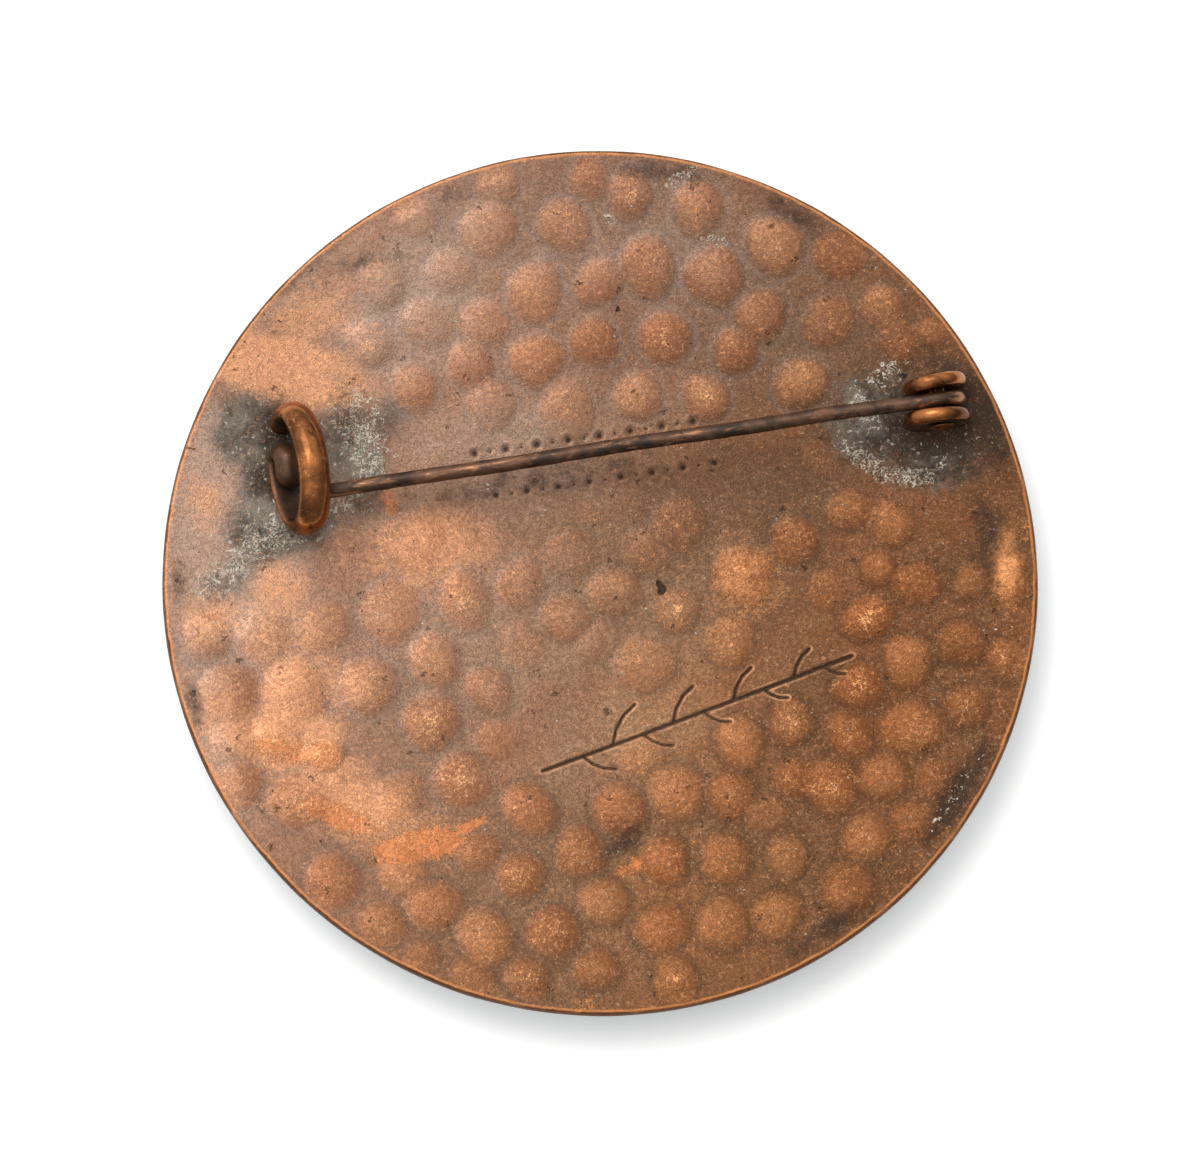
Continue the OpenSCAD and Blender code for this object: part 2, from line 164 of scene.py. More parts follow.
SOLDER_GREY = [
    [-21.2, 9.0, 1.9, 2.1, 15, 1.4], [-19.8, 6.6, 1.8, 2.8, 20, 1.5],
    [-15.0, 8.0, 1.7, 3.9, 8, 0.95], [-13.3, 9.7, 1.9, 1.3, 32, 0.7],
    [-18.2, 7.4, 2.0, 2.8, 0, 1.4], [-19.4, 3.6, 2.8, 1.8, 25, 1.6],
    [-22.0, 0.6, 3.0, 1.2, 45, 0.7], [16.9, 9.9, 2.6, 2.6, -10, 1.0],
    [20.4, 7.4, 2.6, 1.6, 0, 0.9],
]
CRUST = [
    [-20.2, 2.4, 3.0, 1.4, 30, 1.0], [-23.4, -0.5, 1.3, 1.4, 0, 1.0],
    [-21.8, 0.8, 2.6, 1.0, 45, 0.9], [-14.4, 9.0, 1.8, 3.1, 12, 0.95],
    [-15.6, 4.9, 1.5, 0.8, 20, 0.9], [16.1, 7.5, 1.5, 0.55, -42, 1.4],
    [18.5, 6.5, 1.8, 0.45, -8, 1.5], [20.4, 7.0, 1.1, 0.4, 30, 0.8],
    [17.4, 12.8, 2.0, 1.0, 30, 0.75], [15.9, 10.8, 1.1, 1.8, 30, 0.75],
    [4.9, 24.8, 1.2, 0.45, 35, 1.1], [0.6, 22.3, 0.5, 0.4, 0, 1.0],
    [7.0, 21.0, 1.3, 0.35, -10, 0.9], [-12.2, 20.0, 0.6, 0.5, 0, 0.8],
    [21.2, -13.2, 0.6, 3.2, -33, 0.6], [-7.0, 5.9, 1.8, 0.5, 0, 0.5],
]
# Grime, and painted shade: the rows at 23.6, 9.6, at 20.4, 9.9 and at 21.6, 12.2 are grime and painted shade
# round the hinge's ears, the rows at -19.6, 8.6 and at -18.8, 5.4 are painted shade under the catch, and the
# last row is the pin's painted shadow
GRIME_AND_SHADE = [
    [-18.8, 18.4, 3.0, 0.7, 35, 0.6], [-14.0, 19.6, 2.6, 0.5, 10, 0.5],
    [-9.0, 23.6, 0.9, 0.6, 0, 0.5], [4.0, 25.1, 3.0, 0.6, -5, 0.65],
    [12.0, 22.4, 2.6, 0.6, -32, 0.6], [23.6, 9.6, 1.3, 3.4, 10, 0.9],
    [20.4, 9.9, 4.0, 3.2, -8, 0.95], [21.6, 12.2, 2.6, 1.4, -30, 0.8],
    [21.6, -12.8, 0.9, 3.4, -32, 0.85], [13.6, -21.2, 2.6, 0.7, 35, 0.7],
    [1.3, -15.7, 1.6, 0.8, 40, 0.65], [-25.5, -0.6, 0.5, 1.6, 0, 0.6],
    [-24.5, -7.5, 0.5, 1.5, 10, 0.6], [-19.6, 8.6, 0.9, 2.2, 0, 1.3],
    [-18.8, 5.4, 2.2, 1.0, -30, 1.2], [23.5, 3.0, 1.2, 3.0, 8, 0.6],
    # The pin's painted shadow
    [-4.0, 6.5, 8.0, 1.2, 9, 0.5],
]
# Painted pale sheen, strongest on the left and towards the top left
PAINTED_SHEEN = [
    [-22.6, 2.2, 4.5, 6.0, 0, 1.1], [-23.6, 7.4, 1.6, 2.6, 0, 1.5],
    [-23.0, -0.8, 3.0, 3.0, 0, 1.3], [-12.0, 17.5, 7.0, 5.0, 30, 0.7],
    [-20.0, 19.0, 6.0, 3.5, 35, 0.6], [-5.0, 8.0, 9.0, 4.0, 10, 0.7],
    [-2.0, -3.0, 10.0, 6.0, 0, 0.5], [-24.0, -8.0, 2.0, 6.0, 10, 0.7],
    [1.0, -8.5, 7.0, 4.0, 15, 0.5], [5.0, 21.0, 6.0, 4.0, 0, 0.4],
]

# Two plain rows of punched dots, one each side of the pin: [start x, pitch, y], in millimetres
PUNCH_ROWS = [[-6.3, 0.96, 9.05], [-5.4, 0.96, 6.35]]
PUNCH_COUNT = 15
PUNCH_R = [0.34*MM, 0.2*MM]
PUNCH_DEPTH = 0.13*MM

# A scribed sprig: its stem's ends, its count of leaves, and its groove. SCRIBED_FAR is the distance,
# in widths of the groove, that stands for anywhere further off
STEM = [[-5.2, -10.8], [14.4, -6.7]]
LEAF_COUNT = 9
GROOVE_W = 0.125*MM
GROOVE_DEPTH = 0.15*MM
SCRIBED_FAR = 6.0

# Grid of the plate's back: points across and along, and where they are crowded, in millimetres
GRID_ACROSS = 292
GRID_ALONG = 258
FINE_ACROSS = [[-6.8, 15.2]]
FINE_ALONG = [[-12.4, -3.0], [5.8, 9.8]]
FINER = 2.0

# The photograph's own camera, and the lights round it
PHOTO_W = 1200
PHOTO_FOCAL = 7435.15
SENSOR = 36.0
CAMERA_AZIMUTH = math.radians(-19.712)
CAMERA_ELEVATION = math.radians(80.768)
CAMERA_ROLL = math.radians(11.017)
CAMERA_DISTANCE = 450*MM
LOOK_AT = np.array([-0.004, 0.204, 3.0])*MM
# Half the width of the floor, in metres
FLOOR_HALF = 1.2
# The dome's brightest direction, as the photograph stands, and its brightness there and low down
DOME_TOP = [-0.30, 0.38, 0.87]
DOME_LOW = 0.24
DOME_HIGH = 1.52


def turned_axes(x, y, angle):
    """x and y as measured along axes that are turned by an angle."""
    return x*math.cos(angle) + y*math.sin(angle), y*math.cos(angle) - x*math.sin(angle)


def from_chart(across, up):
    """The plate's x and y of a charted place in millimetres: the chart turned by CHART_TURN."""
    x, y = turned_axes(across, up, -CHART_TURN)
    return x*MM, y*MM


def smooth(value, low, high):
    """0 below low and 1 above high, with the curve 3t squared less 2t cubed between."""
    t = np.clip((value - low)/(high - low), 0, 1)
    return t*t*(3 - 2*t)


def back_height(x, y):
    """The hollow back: the dome's centre less the root of its radius squared less x and y squared."""
    return DOME_Z - np.sqrt(DOME_R**2 - x**2 - y**2)


def front_height(x, y, depth=0.0):
    """The dome's front: a ball of the same centre, larger by the copper's thickness and depth."""
    return DOME_Z - np.sqrt((DOME_R + PLATE_T + depth)**2 - x**2 - y**2)


def waves(x, y, rows):
    """A sum of sine waves: each row gives cycles across and along the plate, a phase and a height."""
    total = np.zeros_like(x)
    for across, along, phase, height in rows:
        total += height*np.sin(2*np.pi*(across*x + along*y)/(2*PLATE_R) + phase)
    return total


def line_distance(x, y, start, end):
    """The distance from each point to the straight line between start and end."""
    run = np.subtract(end, start)
    t = ((x - start[0])*run[0] + (y - start[1])*run[1])/(run @ run)
    t = np.clip(t, 0, 1)
    return np.hypot(x - start[0] - t*run[0], y - start[1] - t*run[1])


def boss_relief(x, y):
    """Hammered bosses: low caps h (1 - t to the 2.4) to the 1.2 over a foot a little wider than
    charted, where t is the distance from the middle over the foot's radius, drawn out by BOSS_OVAL
    one way and in the other, in a place bent by slow waves. Where feet meet, the cube root of the
    sum of cubes joins them. Returns the relief, and masks of the bosses' discs, of their rubbed
    crowns, of the painted shade round their feet and of their own light or dark tone."""
    cubes, discs, crowns, feet, tone = (np.zeros_like(x) for _ in range(5))
    bent_x = x + waves(x, y, [[7.3, 9.1, 0.7, 0.10*MM], [-13.9, 6.3, 2.1, 0.05*MM]])
    bent_y = y + waves(x, y, [[8.9, -6.7, 1.9, 0.10*MM], [5.1, 14.7, 0.2, 0.05*MM]])
    for across, up, width, share in BOSSES:
        bx, by = from_chart(across, up)
        u, v = turned_axes(bent_x - bx, bent_y - by, 2.3*across + 4.1*up)
        t = np.hypot(u*(1 - BOSS_OVAL), v*(1 + BOSS_OVAL))/(0.55*width*MM)
        cubes += (BOSS_H*share*np.clip(1 - t**2.4, 0, 1)**1.2)**3
        disc = smooth(1 - t, -0.08, 0.38)*(0.2 + 0.8*share**1.5)
        discs = np.maximum(discs, disc)
        rubbed = 0.2 + 0.8*math.sin(5.3*across + 9.7*up)**6
        crowns = np.maximum(crowns, np.exp(-(t/0.55)**2)*share*rubbed)
        # Painted shade round each boss's foot
        feet = np.maximum(feet, np.exp(-((t - 1.06)/0.14)**2)*share)
        tone += disc*math.sin(3.1*across - 7.7*up + 1)
    return np.cbrt(cubes), discs, crowns, feet*(1 - discs), 0.5 + 0.5*np.clip(tone, -1, 1)


def patina(x, y):
    """How much darker the back's colour goes: a smooth step across the back, from the catch's side to
    the hinge's, bent a little by slow waves."""
    along, up = turned_axes(x, y, CHART_TURN)
    bend = waves(x, y, [[0.7, 1.3, 0.5, 2.5*MM], [1.9, -1.1, 2.0, 1.5*MM]])
    return smooth(along - 0.15*up + bend, -22*MM, 22*MM)


def golden(x, y):
    """How golden the brown is: a smooth step towards the photograph's lower right."""
    along, up = turned_axes(x, y, CHART_TURN)
    return smooth(0.8*along - 0.6*up + waves(x, y, [[1.2, 0.9, 1.5, 2.0*MM]]), -18*MM, 20*MM)


def punch_relief(x, y):
    """Punched dots: D (1 - t squared) to the 1.5 deep, less so where the dot is small, where t is the
    distance over the dot's radius, with a low burr round each. Returns the relief and a mask."""
    relief = np.zeros_like(x)
    mask = np.zeros_like(x)
    for start, pitch, along in PUNCH_ROWS:
        for k in range(PUNCH_COUNT):
            radius = PUNCH_R[k % 2]
            away = np.hypot(x - (start + pitch*k)*MM, y - along*MM)
            dip = np.clip(1 - (away/radius)**2, 0, 1)**1.5
            burr = np.exp(-((away - 1.15*radius)/(0.3*radius))**2)
            relief += PUNCH_DEPTH*(0.25*burr - dip)*radius/PUNCH_R[0]
            mask = np.maximum(mask, dip)
    return relief, mask


def sprig_lines():
    """The sprig's lines: a straight stem, and leaves that turn off it to alternate sides and bend
    back to its direction, each a curve of three short lines. Returns (start, end, width share)."""
    foot, tip = np.array(STEM)*MM
    run = tip - foot
    heading = math.atan2(run[1], run[0])
    lines = [(foot, tip, 1.0)]
    for k in range(LEAF_COUNT):
        share = 0.13 + 0.78*k/(LEAF_COUNT - 1)
        side = 1 if k % 2 else -1
        length = (3.3 - 1.5*share)*MM*(1.0 if side > 0 else 0.72)
        spot = foot + share*run
        for bend in (58, 42, 24):
            angle = heading + side*math.radians(bend)
            after = spot + length/3*np.array([math.cos(angle), math.sin(angle)])
            lines.append((spot, after, 0.85))
            spot = after
    return lines


def groove_relief(x, y):
    """Scribed lines: a groove whose depth falls off as a bell over its width, with a burr beside.
    Returns the relief, and the distance from the nearest line in widths of its groove."""
    nearest = np.full_like(x, SCRIBED_FAR)
    for start, end, width in sprig_lines():
        nearest = np.minimum(nearest, line_distance(x, y, start, end)/(GROOVE_W*width))
    dip = np.exp(-nearest**2)
    burr = np.exp(-((nearest - 1.7)/0.6)**2)
    return GROOVE_DEPTH*(0.3*burr - dip), nearest


def solder_relief(x, y):
    """Low fillets of solder: bells along the catch's base and along each ear's foot."""
    catch = line_distance(x, y, (CATCH_X + 0.1*MM, CATCH_Y - 2.7*MM), (CATCH_X + 0.1*MM, CATCH_Y + 2.7*MM))
    total = 0.5*MM*np.exp(-(catch/(1.1*MM))**2)
    for side in (-1, 1):
        ear_y = RIVET[1] + side*(EAR_SPACE + EAR_T)/2
        ear = line_distance(x, y, (RIVET[0] - 1.5*MM, ear_y), (RIVET[0] + 1.5*MM, ear_y))
        total = np.maximum(total, 0.4*MM*np.exp(-(ear/(0.7*MM))**2))
    return total


def stain(x, y, rows):
    """How strong a stain is: over its ellipses, the most of strength times 1 at the middle, one
    half at the ellipse and 0 at twice its size."""
    total = np.zeros_like(x)
    for across, up, half_w, half_h, turn, strength in rows:
        cx, cy = from_chart(across, up)
        u, v = turned_axes(x - cx, y - cy, CHART_TURN + math.radians(turn))
        away = np.hypot(u/(half_w*MM), v/(half_h*MM))
        total = np.maximum(total, strength*smooth(-away, -2.0, 0.0))
    return total


def grid_lines(count, bands):
    """Places from -1 to 1 along one side of a grid, crowded by FINER inside the bands."""
    even = np.linspace(-1, 1, 4001)
    weight = np.ones_like(even)
    for low, high in bands:
        weight += (FINER - 1)*(smooth(even, low*MM/PLATE_R - 0.04, low*MM/PLATE_R)
                               - smooth(even, high*MM/PLATE_R, high*MM/PLATE_R + 0.04))
    reach = np.cumsum(weight)
    reach = (reach - reach[0])/(reach[-1] - reach[0])
    return np.interp(np.linspace(0, 1, count), reach, even)


def ring_faces(count, around, first=0):
    """Quads between each of count closed rings of around points and the next one."""
    ring = first + np.arange(count - 1)[:, None]*around
    here = np.arange(around)[None, :]
    after = (here + 1) % around
    corners = [ring + here, ring + around + here, ring + around + after, ring + after]
    return np.stack(corners, -1).reshape(-1, 4)


def fan_faces(ring, pole):
    """Triangles from each side of a closed ring, given by its points' numbers, to a pole."""
    return np.stack([ring, np.roll(ring, -1), np.full_like(ring, pole)], -1)


def outward(points, quads, fans):
    """The faces turned so that the closed shape's volume is positive."""
    triangles = np.concatenate([quads[:, [0, 1, 2]], quads[:, [0, 2, 3]], fans])
    a, b, c = (points[triangles[:, k]] for k in range(3))
    if np.einsum("ij,ij->", a, np.cross(b, c)) < 0:
        return quads[:, ::-1], fans[:, ::-1]
    return quads, fans


def make_piece(name, points, quads, fans, finish, slot, body, nodes, masks=()):
    """Puts a closed shape into a mesh, with its finish, its body and the nodes that it stands for."""
    quads, fans = outward(points, quads, fans)
    mesh = bpy.data.meshes.new(name)
    mesh.from_pydata(points.tolist(), [], quads.tolist() + fans.tolist())
    mesh.shade_smooth()
    for key, values in dict(masks).items():
        layer = mesh.attributes.new(key, "FLOAT", "POINT")
        layer.data.foreach_set("value", values.astype(np.float32))
    mesh.materials.append(finish)
    mesh.update()
    piece = bpy.data.objects.new(name, mesh)
    bpy.context.scene.collection.objects.link(piece)
    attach(piece, body)
    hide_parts(*nodes)
    return piece


def skin(rings, start, end):
    """Points and faces of closed rings, shaped (count, around, 3), with a pole point at either end."""
    count, around = rings.shape[:2]
    points = np.concatenate([rings.reshape(-1, 3), [start, end]])
    first = np.arange(around)
    last = first + (count - 1)*around
    fans = np.concatenate([fan_faces(first, count*around), fan_faces(last[::-1], count*around + 1)])
    return points, ring_faces(count, around), fans


def turned(profile, around):
    """A profile of (radius, height) points turned about Z, from a pole at its start to one at its end."""
    angle = np.linspace(0, 2*np.pi, around, endpoint=False)
    radius, height = profile[:, 0, None], profile[:, 1, None]
    rings = np.stack(np.broadcast_arrays(radius*np.cos(angle), radius*np.sin(angle), height), -1)
    return skin(rings, [0, 0, profile[0, 1]], [0, 0, profile[-1, 1]])


def arc(cx, cy, radius, start, end, count):
    """Points on a flat arc, with angles in degrees."""
    angle = np.radians(np.linspace(start, end, count))
    return np.stack([cx + radius*np.cos(angle), cy + radius*np.sin(angle)], -1)


def plate_shape():
    """The plate: a square grid drawn onto a disc (x = s times the root of 1 - t squared / 2, and y
    the same with s and t changed over) carries the back with its relief. Its edge is then led in
    rings round the crowned rim and in over the dome's front to a pole."""
    lines = grid_lines(GRID_ACROSS, FINE_ACROSS), grid_lines(GRID_ALONG, FINE_ALONG)
    s, t = np.meshgrid(*lines, indexing="ij")
    flat_r = PLATE_R - RIM_FLAT
    x = (flat_r*s*np.sqrt(1 - t*t/2)).ravel()
    y = (flat_r*t*np.sqrt(1 - s*s/2)).ravel()
    bosses = boss_relief(x, y)[0]
    dots, dot_mask = punch_relief(x, y)
    grooves, scribed = groove_relief(x, y)
    away = np.hypot(x, y)
    inside = 1 - smooth(away, PLATE_R - RIM_FADE[0], PLATE_R - RIM_FADE[1])
    beating = waves(x, y, [
        [3.1, 1.7, 0.4, 0.03*MM], [-1.9, 3.6, 1.1, 0.03*MM], [5.3, -4.1, 2.0, 0.018*MM],
        [7.7, 6.9, 0.3, 0.012*MM], [-9.1, 8.3, 2.6, 0.010*MM],
    ])
    relief = inside*(bosses + beating) + dots + grooves + solder_relief(x, y)
    back = np.stack([x, y, back_height(x, y) + relief], -1)
    index = np.arange(GRID_ACROSS*GRID_ALONG).reshape(GRID_ACROSS, GRID_ALONG)
    quads = np.stack([index[:-1, :-1], index[1:, :-1], index[1:, 1:], index[:-1, 1:]], -1).reshape(-1, 4)
    edge = np.concatenate([index[:-1, 0], index[-1, :-1], index[:0:-1, -1], index[0, :0:-1]])
    angle = np.arctan2(y[edge], x[edge])
    crown_x = PLATE_R - RIM_CROWN_R
    mid_r = DOME_R + PLATE_T/2
    crown_z = DOME_Z - math.sqrt(mid_r**2 - PLATE_R**2)
    profile = arc(crown_x, crown_z, RIM_CROWN_R, 38, -46, 8)
    front = np.array([PLATE_R - 0.62*MM, 22*MM, 16*MM, 10*MM, 5*MM])
    profile = np.concatenate([profile, np.stack([front, front_height(front, 0*front)], -1)])
    rings = np.stack([
        profile[:, 0, None]*np.cos(angle), profile[:, 0, None]*np.sin(angle),
        np.repeat(profile[:, 1, None], len(angle), 1),
    ], -1)
    around = len(edge)
    first = len(back)
    ring = first + np.arange(around)
    joint = np.stack([edge, ring, np.roll(ring, -1), np.roll(edge, -1)], -1)
    pole = first + len(profile)*around
    points = np.concatenate([back, rings.reshape(-1, 3), [[0, 0, front_height(0.0, 0.0)]]])
    quads = np.concatenate([quads, joint, ring_faces(len(profile), around, first)])
    fans = fan_faces((ring + (len(profile) - 1)*around)[::-1], pole)
    turn = np.arctan2(points[:, 1], points[:, 0])
    nicks = 0.02*MM + 0.008*MM*(np.sin(7*turn + 1) + np.sin(17*turn + 2.3) + 0.6*np.sin(41*turn))
    spread = (np.hypot(points[:, 0], points[:, 1])/PLATE_R)**8
    points[:, :2] *= (1 - spread*nicks/PLATE_R)[:, None]
    px, py = points[:, 0], points[:, 1]
    on_back = np.arange(len(points)) < first
    _, discs, crowns, feet, tone = boss_relief(px, py)
    masks = {
        "discs": discs*on_back,
        "crowns": crowns*on_back,
        "feet": feet*on_back,
        "tone": tone,
        "patina": patina(px, py),
        "golden": golden(px, py),
        "marks": np.concatenate([dot_mask, np.zeros(len(points) - first)]),
        "scribed": np.concatenate([scribed, np.full(len(points) - first, SCRIBED_FAR)]),
        "bright": stain(px, py, BRIGHT_COPPER)*on_back,
        "flakes": stain(px, py, FLAKES)*on_back,
        "solder": stain(px, py, SOLDER_GREY)*on_back,
        "crust": stain(px, py, CRUST)*on_back,
        "grime": stain(px, py, GRIME_AND_SHADE)*on_back,
        "haze": stain(px, py, PAINTED_SHEEN)*on_back,
    }
    return points, quads, fans, masks


def enamel_shape():
    """The enamel: a dished shell between two balls of the dome's centre, with a rounded rim, turned
    about Z from the pole where it meets the copper to the pole at its lowest point."""
    rim_r = PLATE_R - ENAMEL_INSET
    seat = np.linspace(0, rim_r - 0.1*MM, 40)[1:]
    face = np.linspace(rim_r - 0.12*MM, 0, 60)[:-1]
    top = np.stack([seat, front_height(seat, 0*seat, SEAT_GAP)], -1)
    low = np.stack([face, front_height(face, 0*face, ENAMEL_T)], -1)
    middle = (top[-1] + low[0])/2
    lip = np.array([[rim_r, middle[1] + 0.06*MM], [rim_r, middle[1] - 0.06*MM]])
    return turned(np.concatenate([top, lip, low]), 240)


def half_round(count):
    """The catch's wire across: a half circle of BAND_R on a flat side, its corners eased. The first
    number runs out from the wire's middle and the second across it."""
    dome = arc(-BAND_R/2, 0, BAND_R, -84, 84, count)*[1, BAND_SPREAD]
    flat = np.array([
        [-0.465, 0.935], [-0.525, 0.80], [-0.545, 0.40], [-0.545, -0.40], [-0.525, -0.80], [-0.465, -0.935],
    ])*BAND_R
    return np.concatenate([dome, flat])


def swept(path, out, across, section, size):
    """Rings of a section carried along a path: point = path + size (s0 out + s1 across)."""
    return path[:, None] + size[:, None, None]*(
        section[None, :, 0, None]*out[:, None] + section[None, :, 1, None]*across[:, None])


def catch_shape():
    """The scroll catch: a half-round section along the hook's arcs, which draws in to a rounded tip
    at both ends as the root of 1 - t squared."""
    spots = []
    heads = []
    for cx, cy, radius, start, end in HOOK_ARCS:
        count = max(6, int(math.radians(end - start)*radius/0.1))
        angle = np.radians(np.linspace(start, end, count))
        spots.append(np.stack([cx + radius*np.cos(angle), cy + radius*np.sin(angle)], -1)*MM)
        heads.append(np.stack([np.cos(angle), np.sin(angle)], -1))
    flat = np.concatenate([spots[0]] + [s[1:] for s in spots[1:]])
    head = np.concatenate([heads[0]] + [h[1:] for h in heads[1:]])
    tip = np.sin(np.linspace(0, np.pi/2, TIP_STEPS + 1))[1:]
    reach = BAND_R*0.985
    first = flat[0] + (reach*tip)[::-1, None]*np.array([head[0][1], -head[0][0]])
    last = flat[-1] + (reach*tip)[:, None]*np.array([-head[-1][1], head[-1][0]])
    shrink = np.sqrt(np.clip(1 - tip**2, 0, 1))
    size = np.concatenate([shrink[::-1], np.ones(len(flat)), shrink])
    size = np.maximum(size, 0.02)
    flat = np.concatenate([first, flat, last])
    head = np.concatenate([np.repeat(head[:1], TIP_STEPS, 0), head, np.repeat(head[-1:], TIP_STEPS, 0)])
    # The tips draw in towards the wire's flat side, so the path follows the flat side's middle
    flat = flat - head*(BAND_R/2)*(1 - size[:, None])
    along = np.arange(len(flat))/len(flat)
    wobble = 1 + 0.02*np.sin(9*along + 1) + 0.012*np.sin(31*along)
    u_axis = np.array([0.0, 1.0, 0.0])
    v_axis = np.array([math.sin(CATCH_LEAN), 0, math.cos(CATCH_LEAN)])
    n_axis = np.array([math.cos(CATCH_LEAN), 0, -math.sin(CATCH_LEAN)])
    base = np.array([CATCH_X, CATCH_Y, back_height(CATCH_X, CATCH_Y)])
    path = base + flat[:, :1]*u_axis + flat[:, 1:]*v_axis
    out = head[:, :1]*u_axis + head[:, 1:]*v_axis
    across = np.repeat(n_axis[None], len(path), 0)
    section = half_round(22)
    rings = swept(path, out, across, section, size*wobble)
    points, quads, fans = skin(rings, path[0], path[-1])
    # Painted shade lies on the wire's flat side, and on all of its inner curl
    turn = len(flat) - len(spots[-1]) - len(spots[-2]) - TIP_STEPS
    curl = smooth(np.arange(len(flat)), turn - 14.0, turn + 6.0)
    inside = smooth(-section[:, 0], 0.35*BAND_R, 0.5*BAND_R)
    dirt = np.maximum(0.8*curl[:, None], inside[None, :]).ravel()
    return points, quads, fans, {"dirt": np.append(dirt, [dirt[0], dirt[-1]])}


def ear_shape(side):
    """One hinge ear: a thick disc with a full crowned edge and a bore, turned about its own axis and
    set on edge. The profile is a closed loop, so the ring has no poles. The bore stays on the
    rivet, and the outer edge is set off from it by EAR_OFFSET."""
    half = EAR_T/2
    edge = arc(EAR_R[side] - EAR_CROWN_R, 0, EAR_CROWN_R, -46, 46, 13)
    bore = RIVET_R + 0.05*MM
    low = [[bore + 0.06*MM, -half], [1.2*MM, -half]]
    high = [[1.2*MM, half], [bore + 0.06*MM, half]]
    profile = np.concatenate([low, edge, high, [[bore, half - 0.04*MM], [bore, 0.04*MM - half]]])
    around = 96
    angle = np.linspace(0, 2*np.pi, around, endpoint=False)
    radius, height = profile[:, 0, None], profile[:, 1, None]
    rings = np.stack(np.broadcast_arrays(radius*np.cos(angle), height, radius*np.sin(angle)), -1)
    rings[..., 0] += EAR_OFFSET[side]*smooth(radius, bore, 1.3*MM)
    x, y = turned_axes(rings[..., 0], rings[..., 1], -side*EAR_SPLAY)
    centre = RIVET + np.array([0, side*(EAR_SPACE + EAR_T)/2 + HINGE_SHIFT, 0])
    points = (np.stack([x, y, rings[..., 2]], -1) + centre).reshape(-1, 3)
    count = len(profile)
    quads = ring_faces(count, around)
    last = np.arange(around) + (count - 1)*around
    first = np.arange(around)
    seam = np.stack([last, first, np.roll(first, -1), np.roll(last, -1)], -1)
    return points, np.concatenate([quads, seam]), np.zeros((0, 3), int)


def rivet_shape():
    """The rivet: a shank with a crowned head at each end, turned about the hinge's axis."""
    head_y = EAR_SPACE/2 + EAR_T + RIVET_HEAD_R*math.sin(EAR_SPLAY) + 2*SEAT_GAP
    crown_r = (RIVET_HEAD_R**2 + RIVET_HEAD_T**2)/(2*RIVET_HEAD_T)
    radius = np.linspace(0, RIVET_HEAD_R, 12)[1:]
    height = head_y + RIVET_HEAD_T - crown_r + np.sqrt(crown_r**2 - radius**2)
    head = np.stack([radius, height], -1)
    half = np.concatenate([head, [[RIVET_HEAD_R*0.97, head_y - 0.02*MM], [RIVET_R, head_y]]])
    profile = np.concatenate([half, [[RIVET_R, 0]], (half*[1, -1])[::-1]])
    points, quads, fans = turned(profile, 48)
    points = np.stack([points[:, 0], points[:, 2] + HINGE_SHIFT, -points[:, 1]], -1) + RIVET
    return points, quads, fans


def pin_shape():
    """The pin: round wire curled about the rivet, then straight with a long point. The path is the
    curl's arc and its tangent, and the wire's radius falls to POINT_R over the point."""
    curl = np.radians(np.linspace(math.degrees(CURL_END), 90, 70))
    bend = np.stack([CURL_R*np.cos(curl), 0*curl, CURL_R*np.sin(curl)], -1)
    stem_x = np.linspace(0, PIN_LEN, 260)[1:]
    stem = np.stack([-stem_x, 0*stem_x, CURL_R + 0*stem_x], -1)
    path = np.concatenate([bend, stem])
    out = np.concatenate([
        np.stack([np.cos(curl), 0*curl, np.sin(curl)], -1),
        np.repeat([[0.0, 0.0, 1.0]], len(stem), 0),
    ])
    across = np.repeat([[0.0, 1.0, 0.0]], len(path), 0)
    along = np.concatenate([CURL_R*(curl - curl[-1]), stem_x])
    taper = smooth(along, PIN_LEN - POINT_LEN*1.5, PIN_LEN)
    size = WIRE_R*(1 - taper) + POINT_R*taper
    size *= 1 + 0.018*np.sin(along/MM*1.9) + 0.014*np.sin(along/MM*4.3 + 1)
    stray = smooth(along, 2*MM, 8*MM)
    path[:, 1] += (1 - stray)*HINGE_SHIFT + stray*0.035*MM*np.sin(along/MM*0.42)
    path[:, 2] += stray*0.035*MM*np.sin(along/MM*0.31 + 1)
    angle = np.linspace(0, 2*np.pi, 20, endpoint=False)
    section = np.stack([np.cos(angle), np.sin(angle)], -1)
    # The cut end's edge is eased by one smaller ring
    cut = path[:1] - 0.05*MM*np.array([-math.sin(curl[0]), 0, math.cos(curl[0])])
    path = np.concatenate([cut, path])
    out = np.concatenate([out[:1], out])
    across = np.concatenate([across[:1], across])
    size = np.concatenate([size[:1]*0.8, size])
    rings = swept(path, out, across, section, size)
    points, quads, fans = skin(rings, path[0], path[-1] - [0.08*MM, 0, 0])
    points[:, 0] *= 1 + EYE_STRETCH*(points[:, 0] > 0)
    x, z = turned_axes(points[:, 0], points[:, 2], -PIN_DIP)
    points = np.stack([x, points[:, 1], z], -1) + RIVET
    return points, quads, fans


